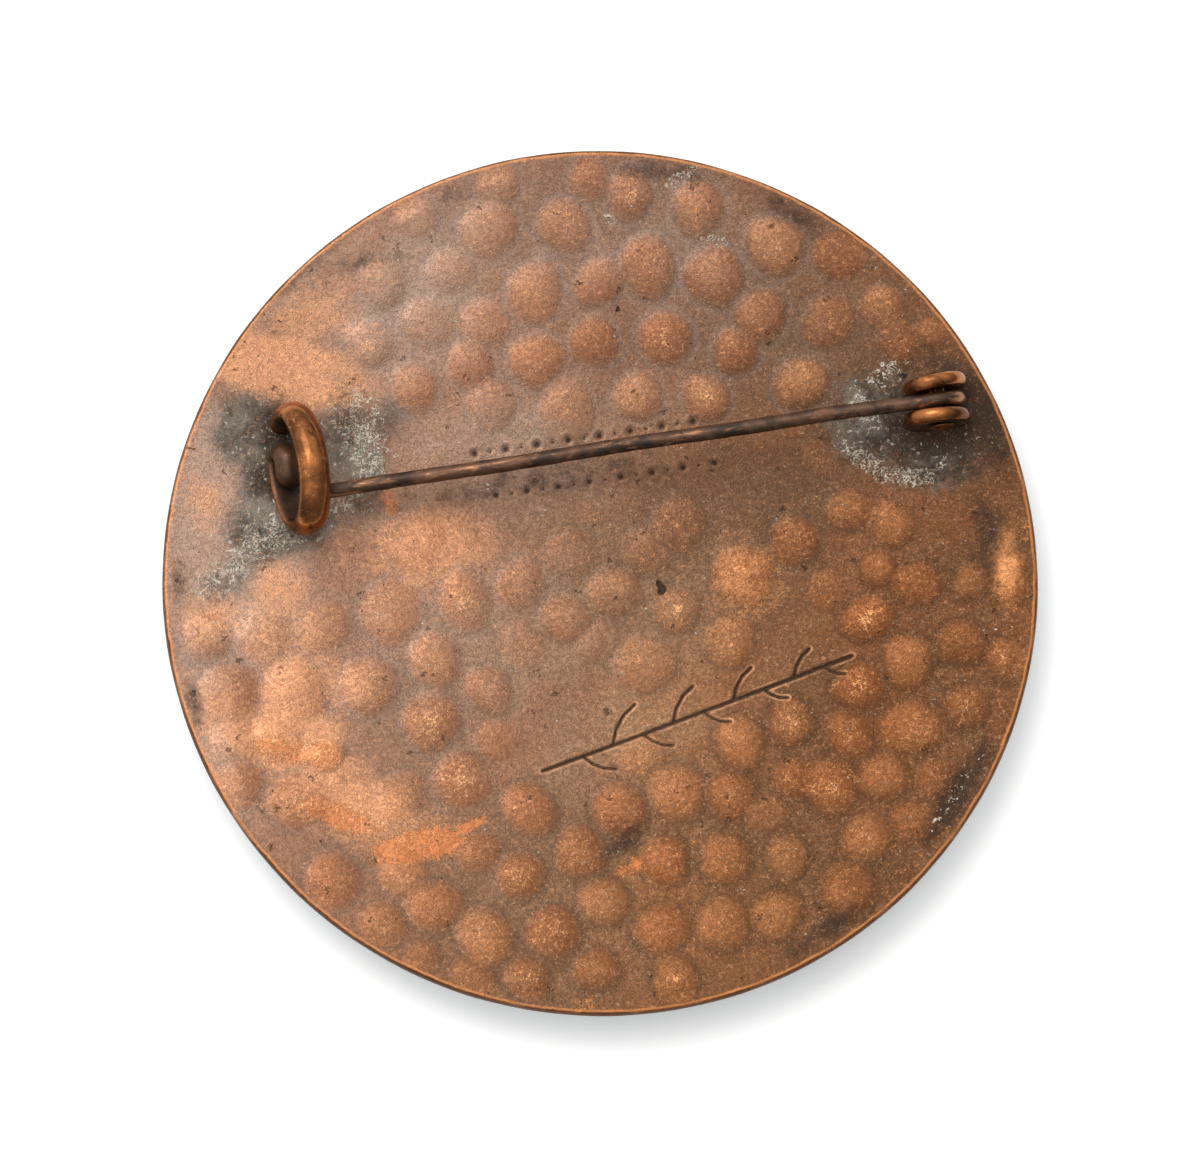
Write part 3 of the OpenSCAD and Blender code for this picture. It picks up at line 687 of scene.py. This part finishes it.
class Nodes:
    """Adds nodes to one tree. Each input is a plain value or the output that feeds it."""

    def __init__(self, tree):
        self.tree = tree

    def add(self, kind, inputs=(), **settings):
        made = self.tree.nodes.new(kind)
        for name, value in settings.items():
            setattr(made, name, value)
        for socket, value in dict(inputs).items():
            self.feed(made.inputs[socket], value)
        return made

    def feed(self, socket, value):
        if isinstance(value, bpy.types.NodeSocket):
            self.tree.links.new(value, socket)
        else:
            socket.default_value = value

    def calc(self, operation, *values, clamp=False):
        inputs = dict(enumerate(values))
        return self.add("ShaderNodeMath", inputs, operation=operation, use_clamp=clamp).outputs[0]

    def times(self, value, other):
        return self.calc("MULTIPLY", value, other)

    def plus(self, value, other):
        return self.calc("ADD", value, other)

    def less(self, value, other, clamp=False):
        """The first value less the other one."""
        return self.calc("SUBTRACT", value, other, clamp=clamp)

    def blend(self, *terms):
        """The sum of value times weight."""
        total = self.times(*terms[0])
        for value, weight in terms[1:]:
            total = self.plus(total, self.times(value, weight))
        return total

    def step(self, value, low, high, start=0.0, end=1.0):
        """start below low and end above high, with a smooth step between."""
        inputs = {"Value": value, "From Min": low, "From Max": high, "To Min": start, "To Max": end}
        return self.add("ShaderNodeMapRange", inputs, interpolation_type="SMOOTHSTEP").outputs["Result"]

    def mix(self, share, under, over, blend="MIX"):
        inputs = {0: share, 6: under, 7: over}
        return self.add("ShaderNodeMix", inputs, data_type="RGBA", blend_type=blend).outputs[2]

    def tint(self, under, mask, most, tone):
        """A tone laid over a colour where a mask says, and at most so strong."""
        return self.mix(self.times(mask, most), under, tone)

    def noise(self, place, scale, detail=3.0, rough=0.55, twist=0.0):
        inputs = {"Vector": place, "Scale": scale, "Detail": detail, "Roughness": rough, "Distortion": twist}
        return self.add("ShaderNodeTexNoise", inputs).outputs["Fac"]

    def mask(self, name):
        return self.add("ShaderNodeAttribute", attribute_name=name).outputs["Fac"]

    def place(self):
        return self.add("ShaderNodeTexCoord").outputs["Object"]

    def group(self, tree, inputs):
        return self.add("ShaderNodeGroup", inputs, node_tree=tree)


def effect(name, inputs, outputs, build):
    """A node group, built once. inputs are (name, kind, start value), and build returns its outputs."""
    tree = bpy.data.node_groups.new(name, "ShaderNodeTree")
    for label, kind, start in inputs:
        socket = tree.interface.new_socket(name=label, in_out="INPUT", socket_type="NodeSocket" + kind)
        if start is not None:
            socket.default_value = start
    for label, kind in outputs:
        tree.interface.new_socket(name=label, in_out="OUTPUT", socket_type="NodeSocket" + kind)
    nodes = Nodes(tree)
    made = build(nodes, nodes.add("NodeGroupInput").outputs)
    nodes.add("NodeGroupOutput", made)
    return tree


def curled_threads(nodes, given):
    """Short curled scratches: where a twisted noise is near its middle value, kept in patches."""
    field = nodes.noise(given["Place"], given["Scale"], 1.0, 0.5, 1.6)
    ridge = nodes.calc("ABSOLUTE", nodes.less(field, 0.5))
    line = nodes.step(ridge, nodes.times(given["Width"], 0.3), given["Width"], 1.0, 0.0)
    patch_scale = nodes.times(given["Scale"], given["Patch"])
    patch = nodes.noise(given["Place"], patch_scale, 1.0, 0.5)
    least = nodes.less(0.72, nodes.times(given["Amount"], 0.4))
    kept = nodes.step(patch, least, nodes.plus(least, 0.07))
    return {"Mask": nodes.times(line, kept)}


def dark_specks(nodes, given):
    """Ragged specks: the middles of some cells, chosen by each cell's own random colour."""
    inputs = {"Vector": given["Place"], "Scale": nodes.times(given["Scale"], 3.0), "Detail": 1.0}
    bend = nodes.add("ShaderNodeTexNoise", inputs).outputs["Color"]
    bend = nodes.add("ShaderNodeVectorMath", {0: bend, 1: (0.5, 0.5, 0.5)}, operation="SUBTRACT").outputs[0]
    inputs = {0: bend, "Scale": nodes.calc("DIVIDE", given["Bend"], given["Scale"])}
    bend = nodes.add("ShaderNodeVectorMath", inputs, operation="SCALE").outputs[0]
    bent = nodes.add("ShaderNodeVectorMath", {0: given["Place"], 1: bend}, operation="ADD").outputs[0]
    cells = nodes.add("ShaderNodeTexVoronoi", {"Vector": bent, "Scale": given["Scale"]})
    away = cells.outputs["Distance"]
    chance = nodes.add("ShaderNodeSeparateColor", {"Color": cells.outputs["Color"]})
    size = nodes.times(given["Size"], chance.outputs["Green"])
    spot = nodes.step(away, nodes.times(size, 0.6), size, 1.0, 0.0)
    kept = nodes.calc("LESS_THAN", chance.outputs["Red"], given["Share"])
    return {"Mask": nodes.times(spot, kept)}


def broken_stain(nodes, given):
    """A soft mask given a ragged edge by a coarse noise and a fine one."""
    coarse = nodes.noise(given["Place"], given["Scale"], 5.0, 0.7, 0.6)
    fine = nodes.noise(given["Place"], 4300.0, 1.0, 0.5, 1.5)
    ragged = nodes.plus(nodes.less(coarse, 0.5), nodes.times(nodes.less(fine, 0.5), 0.5))
    total = nodes.plus(given["Amount"], nodes.times(ragged, given["Breaking"]))
    low = nodes.less(0.5, given["Softness"])
    shown = nodes.step(total, low, nodes.plus(0.5, given["Softness"]))
    away = nodes.calc("ABSOLUTE", nodes.less(total, 0.5))
    edge = nodes.step(away, 0.0, nodes.plus(given["Softness"], 0.03), 1.0, 0.0)
    return {"Mask": shown, "Edge": edge}


THREADS = effect("curled_threads", [
    ("Place", "Vector", None), ("Scale", "Float", 2000.0), ("Width", "Float", 0.03), ("Amount", "Float", 0.5),
    ("Patch", "Float", 1.2),
], [("Mask", "Float")], curled_threads)
SPECKS = effect("dark_specks", [
    ("Place", "Vector", None), ("Scale", "Float", 1500.0), ("Size", "Float", 0.15), ("Share", "Float", 0.2),
    ("Bend", "Float", 1.2),
], [("Mask", "Float")], dark_specks)
STAIN = effect("broken_stain", [
    ("Place", "Vector", None), ("Scale", "Float", 900.0), ("Amount", "Float", 0.0),
    ("Breaking", "Float", 1.0), ("Softness", "Float", 0.2),
], [("Mask", "Float"), ("Edge", "Float")], broken_stain)


def new_finish(name, show):
    """A material, its nodes, and its Principled shader."""
    finish = bpy.data.materials.new(name)
    finish.use_nodes = True
    finish.diffuse_color = (*show, 1.0)
    nodes = Nodes(finish.node_tree)
    shader = next(n for n in finish.node_tree.nodes if n.type == "BSDF_PRINCIPLED")
    return finish, nodes, shader


def colour(red, green, blue):
    """A linear colour from display values of 0 to 255."""
    return tuple(float(((v/255 + 0.055)/1.055)**2.4) for v in (red, green, blue)) + (1.0,)


def threaded(nodes, under, place, tone, most, amount, scale, width):
    """A colour with curled threads over it, and the mask of the threads."""
    inputs = {"Place": place, "Scale": scale, "Width": width, "Amount": amount}
    mask = nodes.group(THREADS, inputs).outputs["Mask"]
    return nodes.tint(under, mask, most, tone), mask


def speckled(nodes, under, place, tone, most, scale, size, share, bend=1.2):
    """A colour with dark specks over it, and the mask of the specks."""
    inputs = {"Place": place, "Scale": scale, "Size": size, "Share": share, "Bend": bend}
    mask = nodes.group(SPECKS, inputs).outputs["Mask"]
    return nodes.tint(under, mask, most, tone), mask


def dress(nodes, shader, base, rough, height, strength, distance):
    """Feeds a shader its colour and its roughness, and its normal from a height."""
    nodes.feed(shader.inputs["Base Color"], base)
    nodes.feed(shader.inputs["Roughness"], rough)
    bump = nodes.add("ShaderNodeBump", {"Height": height, "Strength": strength, "Distance": distance})
    nodes.feed(shader.inputs["Normal"], bump.outputs["Normal"])


def hammered_copper():
    """Aged copper: grey brown between the bosses and warmer on their discs, darker towards the
    hinge, rubbed bright in places, given a painted pale sheen and painted shade round the bosses'
    feet, under the fittings and at the rim's edge, and stained by solder, crust and grimy patches.
    Fine curled threads of bare, dark and pale metal lie over all of it."""
    finish, nodes, shader = new_finish("hammered_copper", (0.3, 0.15, 0.08))
    place = nodes.place()
    toward_hinge = nodes.mask("patina")
    discs = nodes.mask("discs")
    crowns = nodes.mask("crowns")
    cloud = nodes.noise(place, 95.0, 4.0, 0.6, 0.4)
    blotch = nodes.noise(place, 480.0, 4.0, 0.6, 0.6)
    grain = nodes.noise(place, 4600.0, 2.0, 0.6, 1.2)

    def stained(under, mask, tone, scale, breaking, softness, most):
        inputs = {"Place": place, "Scale": scale, "Amount": mask, "Breaking": breaking, "Softness": softness}
        made = nodes.group(STAIN, inputs).outputs
        return nodes.tint(under, made["Mask"], most, tone), made["Mask"], made["Edge"]

    field = nodes.mix(toward_hinge, colour(150, 114, 94), colour(94, 70, 55))
    warm = nodes.mix(toward_hinge, colour(180, 120, 86), colour(138, 88, 60))
    warmth = nodes.blend(
        (discs, 0.6), (nodes.step(cloud, 0.35, 0.7), 0.5), (nodes.step(blotch, 0.35, 0.75), 0.1))
    base = nodes.mix(nodes.less(warmth, 0.08, clamp=True), field, warm)
    tone = nodes.mask("tone")
    base = nodes.mix(nodes.step(tone, 0.5, 1.0, 0.0, 0.22), base, colour(184, 138, 104))
    base = nodes.mix(nodes.step(tone, 0.0, 0.5, 0.25, 0.0), base, colour(132, 78, 48))
    # Painted shade round the bosses' feet, darkest where the brown turns golden
    foot_shade_tone = nodes.mix(nodes.mask("golden"), colour(138, 120, 112), colour(60, 44, 34))
    base = nodes.tint(base, nodes.mask("feet"), 0.5, foot_shade_tone)
    # Painted pale sheen
    sheen_tone = nodes.mix(toward_hinge, colour(190, 164, 148), colour(142, 118, 102))
    base, _, _ = stained(base, nodes.mask("haze"), sheen_tone, 260.0, 1.0, 0.5, 0.6)
    base, bright, _ = stained(base, nodes.mask("bright"), colour(228, 162, 120), 420.0, 1.2, 0.4, 0.75)
    base, flakes, lips = stained(base, nodes.mask("flakes"), colour(208, 128, 80), 330.0, 2.2, 0.06, 0.7)
    base = nodes.tint(base, lips, 0.4, colour(250, 196, 148))
    base = nodes.mix(nodes.mask("golden"), base, nodes.mix(1.0, base, (0.85, 0.74, 0.52, 1.0), "MULTIPLY"))
    solder_tone = nodes.mix(nodes.step(blotch, 0.35, 0.65), colour(56, 54, 49), colour(126, 122, 112))
    base, solder, _ = stained(base, nodes.mask("solder"), solder_tone, 420.0, 1.2, 0.4, 0.88)
    # Grime, with painted shade round the hinge's ears, under the catch and under the pin
    base, grime, _ = stained(base, nodes.mask("grime"), colour(50, 40, 32), 600.0, 1.3, 0.4, 0.85)
    base = nodes.mix(nodes.step(grain, 0.3, 0.45, 0.2, 0.0), base, colour(58, 42, 34))
    base = nodes.mix(nodes.step(grain, 0.55, 0.7, 0.0, 0.14), base, colour(240, 190, 150))
    base, dark_threads = threaded(nodes, base, place, colour(56, 40, 30), 0.27, 0.75, 3100.0, 0.08)
    lit = nodes.blend((crowns, 0.4), (bright, 0.4), (discs, 0.1))
    light = nodes.times(nodes.plus(lit, 0.2), nodes.less(1.0, grime))
    thread_tone = nodes.mix(toward_hinge, colour(248, 184, 134), colour(224, 154, 100))
    base, threads = threaded(nodes, base, place, thread_tone, light, nodes.plus(lit, 0.42), 2700.0, 0.065)
    rubbed = nodes.step(crowns, 0.35, 0.9)
    rubbed_light = nodes.times(rubbed, 0.6)
    base, _ = threaded(nodes, base, place, colour(250, 190, 132), rubbed_light, rubbed, 1700.0, 0.06)
    scaly = nodes.calc("MAXIMUM", nodes.step(nodes.mask("crust"), 0.15, 1.0), nodes.times(solder, 0.3))
    crust_light = nodes.step(blotch, 0.3, 0.65, 0.25, 0.8)
    scaly = nodes.times(scaly, 1.1)
    base, crust = threaded(nodes, base, place, colour(220, 210, 190), crust_light, scaly, 2500.0, 0.075)
    base, specks = speckled(nodes, base, place, colour(38, 30, 26), 0.6, 1300.0, 0.3, 0.25)
    base, pits = speckled(nodes, base, place, colour(26, 20, 16), 0.85, 300.0, 0.12, 0.14, 0.5)
    scribed = nodes.mask("scribed")
    # The burr beside the sprig's grooves is painted lighter, as rubbed metal and as a painted highlight along
    # the groove's edge
    burr = nodes.step(nodes.calc("ABSOLUTE", nodes.less(scribed, 1.6)), 0.1, 0.8, 1.0, 0.0)
    burr = nodes.times(burr, nodes.step(blotch, 0.38, 0.62, 0.1, 0.7))
    base = nodes.mix(burr, base, colour(206, 152, 112))
    dots = nodes.step(nodes.mask("marks"), 0.35, 0.9)
    marks = nodes.calc("MAXIMUM", dots, nodes.step(scribed, 0.45, 1.05, 1.0, 0.0))
    base = nodes.tint(base, marks, 0.9, colour(46, 35, 28))
    # A worn line runs round the rim, and outside it the rim's falling edge is painted dark as shade
    flat = nodes.add("ShaderNodeVectorMath", {0: place, 1: (1.0, 1.0, 0.0)}, operation="MULTIPLY").outputs[0]
    reach = nodes.add("ShaderNodeVectorMath", {0: flat}, operation="LENGTH").outputs["Value"]
    reach = nodes.plus(reach, nodes.times(nodes.less(blotch, 0.5), 0.3*MM))
    edge = nodes.step(reach, PLATE_R - 0.24*MM, PLATE_R - 0.12*MM)
    worn = nodes.step(reach, PLATE_R - 0.40*MM, PLATE_R - 0.26*MM)
    base = nodes.tint(base, worn, 0.6, colour(214, 140, 84))
    base = nodes.tint(base, edge, 0.9, colour(74, 44, 26))
    rough = nodes.blend((nodes.step(blotch, 0.3, 0.7), 0.12), (grime, 0.15), (solder, 0.08))
    shader.inputs["Specular IOR Level"].default_value = 0.1
    cover = nodes.calc("MAXIMUM", nodes.calc("MAXIMUM", grime, crust), solder)
    nodes.feed(shader.inputs["Metallic"], nodes.less(0.65, nodes.times(cover, 0.45)))
    height = nodes.blend(
        (blotch, 0.35), (grain, 0.22), (threads, 0.15), (crust, 0.35), (dark_threads, -0.15),
        (specks, -0.25), (pits, -1.2), (flakes, -0.5))
    dress(nodes, shader, base, nodes.plus(rough, 0.38), height, 0.6, 0.12*MM)
    return finish


def fitting_bronze():
    """Worn bronze of the catch, the ears and the rivet: golden brown, cloudy, rubbed lighter, with
    dark flecks, and painted shade on the catch's inner curl and flat side."""
    finish, nodes, shader = new_finish("fitting_bronze", (0.25, 0.13, 0.07))
    place = nodes.place()
    cloud = nodes.noise(place, 420.0, 4.0, 0.6, 0.5)
    fine_cloud = nodes.noise(place, 1500.0, 3.0, 0.6, 0.4)
    base = nodes.mix(nodes.step(cloud, 0.35, 0.65), colour(92, 55, 30), colour(166, 104, 58))
    base = nodes.mix(nodes.step(fine_cloud, 0.5, 0.75, 0.0, 0.55), base, colour(66, 44, 30))
    base, specks = speckled(nodes, base, place, colour(36, 26, 20), 0.6, 1300.0, 0.35, 0.3)
    base, _ = threaded(nodes, base, place, colour(222, 160, 104), 0.4, 0.35, 2600.0, 0.05)
    # Painted shade on the catch's inner curl and flat side
    dirt = nodes.times(nodes.mask("dirt"), nodes.step(fine_cloud, 0.3, 0.7, 1.0, 0.8))
    base = nodes.mix(dirt, base, colour(40, 32, 26))
    rough = nodes.plus(nodes.step(fine_cloud, 0.3, 0.7, 0.17, 0.3), nodes.times(dirt, 0.2))
    nodes.feed(shader.inputs["Metallic"], nodes.less(0.9, nodes.times(dirt, 0.5)))
    height = nodes.blend((cloud, 0.6), (specks, -0.3), (fine_cloud, 0.2))
    dress(nodes, shader, base, rough, height, 0.5, 0.1*MM)
    return finish


def dark_wire():
    """The pin's darkened wire, with worn copper streaks, more wear at its eye, and fewer streaks at its
    point, as painted shade inside the catch.
    """
    finish, nodes, shader = new_finish("pin_wire", (0.08, 0.05, 0.04))
    place = nodes.place()
    stretched = nodes.add("ShaderNodeMapping", {"Vector": place, "Scale": (0.25, 1.0, 1.0)}).outputs["Vector"]
    streak = nodes.noise(stretched, 1900.0, 4.0, 0.65, 0.6)
    cloud = nodes.noise(place, 500.0, 4.0, 0.6, 0.4)
    base = nodes.mix(nodes.step(cloud, 0.35, 0.65), colour(50, 37, 29), colour(98, 68, 48))
    along = nodes.add("ShaderNodeSeparateXYZ", {"Vector": place}).outputs["X"]
    eye = nodes.step(along, RIVET[0], RIVET[0] + 1.3*MM)
    # Fewer worn streaks at the point, as painted shade inside the catch
    point = nodes.step(along, CATCH_X - 0.5*MM, CATCH_X + 4*MM, 1.0, 0.0)
    wear = nodes.blend((streak, 1.0), (eye, 0.14), (point, -0.12))
    base = nodes.mix(nodes.step(wear, 0.52, 0.74, 0.0, 0.7), base, colour(186, 130, 90))
    base, _ = speckled(nodes, base, place, colour(30, 24, 20), 0.7, 1500.0, 0.4, 0.35)
    shader.inputs["Metallic"].default_value = 0.6
    height = nodes.blend((cloud, 0.6), (streak, 0.3))
    dress(nodes, shader, base, nodes.step(streak, 0.4, 0.7, 0.46, 0.32), height, 0.5, 0.1*MM)
    return finish


def glazed_enamel():
    """Fired enamel: deep blue green with clouded lighter pools, under a clear glossy coat."""
    finish, nodes, shader = new_finish("enamel", (0.02, 0.16, 0.18))
    place = nodes.place()
    cloud = nodes.noise(place, 130.0, 5.0, 0.6, 1.2)
    fine_cloud = nodes.noise(place, 900.0, 3.0, 0.5, 0.4)
    base = nodes.mix(nodes.step(cloud, 0.38, 0.66), colour(14, 74, 86), colour(48, 132, 134))
    base = nodes.mix(nodes.step(fine_cloud, 0.5, 0.8, 0.0, 0.35), base, colour(112, 176, 160))
    base, _ = speckled(nodes, base, place, colour(8, 40, 50), 0.5, 500.0, 0.3, 0.3)
    shader.inputs["Coat Weight"].default_value = 0.6
    shader.inputs["Coat Roughness"].default_value = 0.05
    height = nodes.noise(place, 160.0, 2.0, 0.4)
    dress(nodes, shader, base, nodes.step(fine_cloud, 0.3, 0.7, 0.14, 0.22), height, 0.35, 0.25*MM)
    return finish


def camera_axes():
    """The photograph's camera: the way back to it, and its own right and up, in the row's frame."""
    a, e, r = CAMERA_AZIMUTH, CAMERA_ELEVATION, CAMERA_ROLL
    back = np.array([math.sin(a)*math.cos(e), -math.cos(a)*math.cos(e), math.sin(e)])
    right = np.array([math.cos(a), math.sin(a), 0])
    up = np.cross(back, right)
    return back, math.cos(r)*right + math.sin(r)*up, math.cos(r)*up - math.sin(r)*right


def aim(thing, place, back, right, up):
    """Puts a camera or a light at a place, looking away from back."""
    rows = [[right[k], up[k], back[k], place[k]] for k in range(3)]
    thing.matrix_world = Matrix([*rows, [0, 0, 0, 1]])


def link(name, data):
    thing = bpy.data.objects.new(name, data)
    bpy.context.scene.collection.objects.link(thing)
    return thing


def make_camera():
    data = bpy.data.cameras.new("photo_camera")
    data.sensor_width = SENSOR
    data.lens = PHOTO_FOCAL*SENSOR/PHOTO_W
    data.clip_start = 0.01
    data.clip_end = 5
    camera = link("photo_camera", data)
    back, right, up = camera_axes()
    aim(camera, LOOK_AT + CAMERA_DISTANCE*back, back, right, up)
    bpy.context.scene.camera = camera


def photo_direction(across, up_by, height):
    """A vector given by how far it goes across and up the photograph and above the floor."""
    _, right, up = camera_axes()
    flat_right = np.array([right[0], right[1], 0])/np.hypot(right[0], right[1])
    flat_up = np.array([-flat_right[1], flat_right[0], 0])
    return flat_right*across + flat_up*up_by + np.array([0, 0, height])


def make_light(name, across, up_by, height, size, power, tint):
    """A soft square light: across and up_by stand as the photograph does, height is over the floor."""
    data = bpy.data.lights.new(name, "AREA")
    data.size = size
    data.energy = power
    data.color = tint
    light = link(name, data)
    place = photo_direction(across, up_by, height)
    back = place/np.linalg.norm(place)
    side = np.cross([0, 0, 1], back)
    side /= np.linalg.norm(side)
    aim(light, place, back, side, np.cross(back, side))


def make_stage():
    """A plain white floor, a soft light from the top left, and a pale dome that is brightest high up
    towards that light. Seen straight on, the dome is one plain pale grey."""
    finish, _, shader = new_finish("floor_white", (0.9, 0.9, 0.9))
    shader.inputs["Base Color"].default_value = (0.95, 0.95, 0.95, 1)
    shader.inputs["Emission Color"].default_value = (1.0, 0.99, 0.98, 1)
    shader.inputs["Emission Strength"].default_value = 0.18
    shader.inputs["Roughness"].default_value = 0.9
    mesh = bpy.data.meshes.new("floor")
    sides = ((-1, -1), (1, -1), (1, 1), (-1, 1))
    mesh.from_pydata([(a*FLOOR_HALF, b*FLOOR_HALF, 0) for a, b in sides], [], [(0, 1, 2, 3)])
    mesh.materials.append(finish)
    floor = link("floor", mesh)
    make_light("key_light", -0.28, 0.40, 0.85, 0.5, 3.1, (1.0, 0.985, 0.96))
    world = bpy.data.worlds.new("studio")
    world.use_nodes = True
    sky = Nodes(world.node_tree)
    direction = sky.add("ShaderNodeTexCoord").outputs["Generated"]
    facing = sky.add("ShaderNodeVectorMath", {0: direction, 1: tuple(photo_direction(*DOME_TOP))},
                     operation="DOT_PRODUCT").outputs["Value"]
    glow = sky.step(facing, 0.05, 1.0, DOME_LOW, DOME_HIGH)
    straight = sky.add("ShaderNodeLightPath").outputs["Is Camera Ray"]
    seen = sky.times(straight, sky.less(0.8, glow))
    background = world.node_tree.nodes["Background"]
    background.inputs["Color"].default_value = (1.0, 1.0, 1.0, 1)
    sky.feed(background.inputs["Strength"], sky.plus(glow, seen))
    bpy.context.scene.world = world
    bpy.context.scene.view_settings.view_transform = "Standard"
    bpy.context.scene.view_settings.look = "None"


def make_brooch():
    copper, bronze, wire, enamel = hammered_copper(), fitting_bronze(), dark_wire(), glazed_enamel()
    *plate, masks = plate_shape()
    make_piece("hammered_plate", *plate, copper, "hammered_copper", "brooch", ["back_plate"], masks)
    *catch, masks = catch_shape()
    make_piece("scroll_catch", *catch, bronze, "fitting_bronze", "brooch", ["back_plate"], masks)
    for side, name in ((1, "hinge_ear_far"), (-1, "hinge_ear_near")):
        make_piece(name, *ear_shape(side), bronze, "fitting_bronze", "brooch", ["back_plate"])
    make_piece("enamel_face_glaze", *enamel_shape(), enamel, "enamel", "brooch", ["enamel_face"])
    make_piece("rivet", *rivet_shape(), bronze, "fitting_bronze", "brooch", ["hinge_rivet"])
    make_piece("pin_wire", *pin_shape(), wire, "pin_wire", "pin", ["pin"])


make_camera()
make_stage()
make_brooch()
